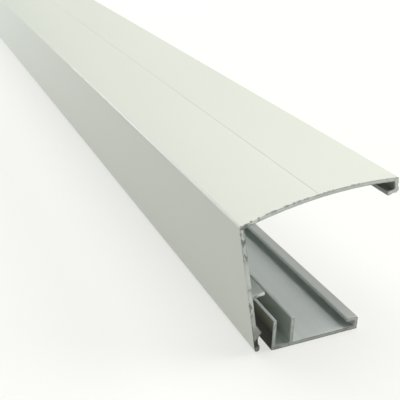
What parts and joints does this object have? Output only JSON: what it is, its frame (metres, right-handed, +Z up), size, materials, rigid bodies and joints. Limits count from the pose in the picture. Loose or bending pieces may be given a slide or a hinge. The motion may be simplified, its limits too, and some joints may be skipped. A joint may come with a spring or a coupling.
{
  "type": "aluminium extrusion profile",
  "caption": "Aluminium extrusion stock for a roller blind cassette: a leaning cover with an arched top and hooked edge, over a flat base with an upright channel and turned-in edge.",
  "frame": {"origin": "bottom centre of the box round both pieces of stock, on the floor that the base stands on", "axes": "+Y along the stock, +X from the leaning web of the cover to its hooked edge, +Z up"},
  "size_m": [0.0746, 1, 0.0736],
  "materials": {
    "coated_aluminium": "near-white powder coat on the outer faces, bare inside and at the cut ends",
    "mill_aluminium": "mill finish, satin"
  },
  "bodies": {
    "root": {"cover_profile": "coated_aluminium", "base_profile": "mill_aluminium"}
  },
  "joints": []
}
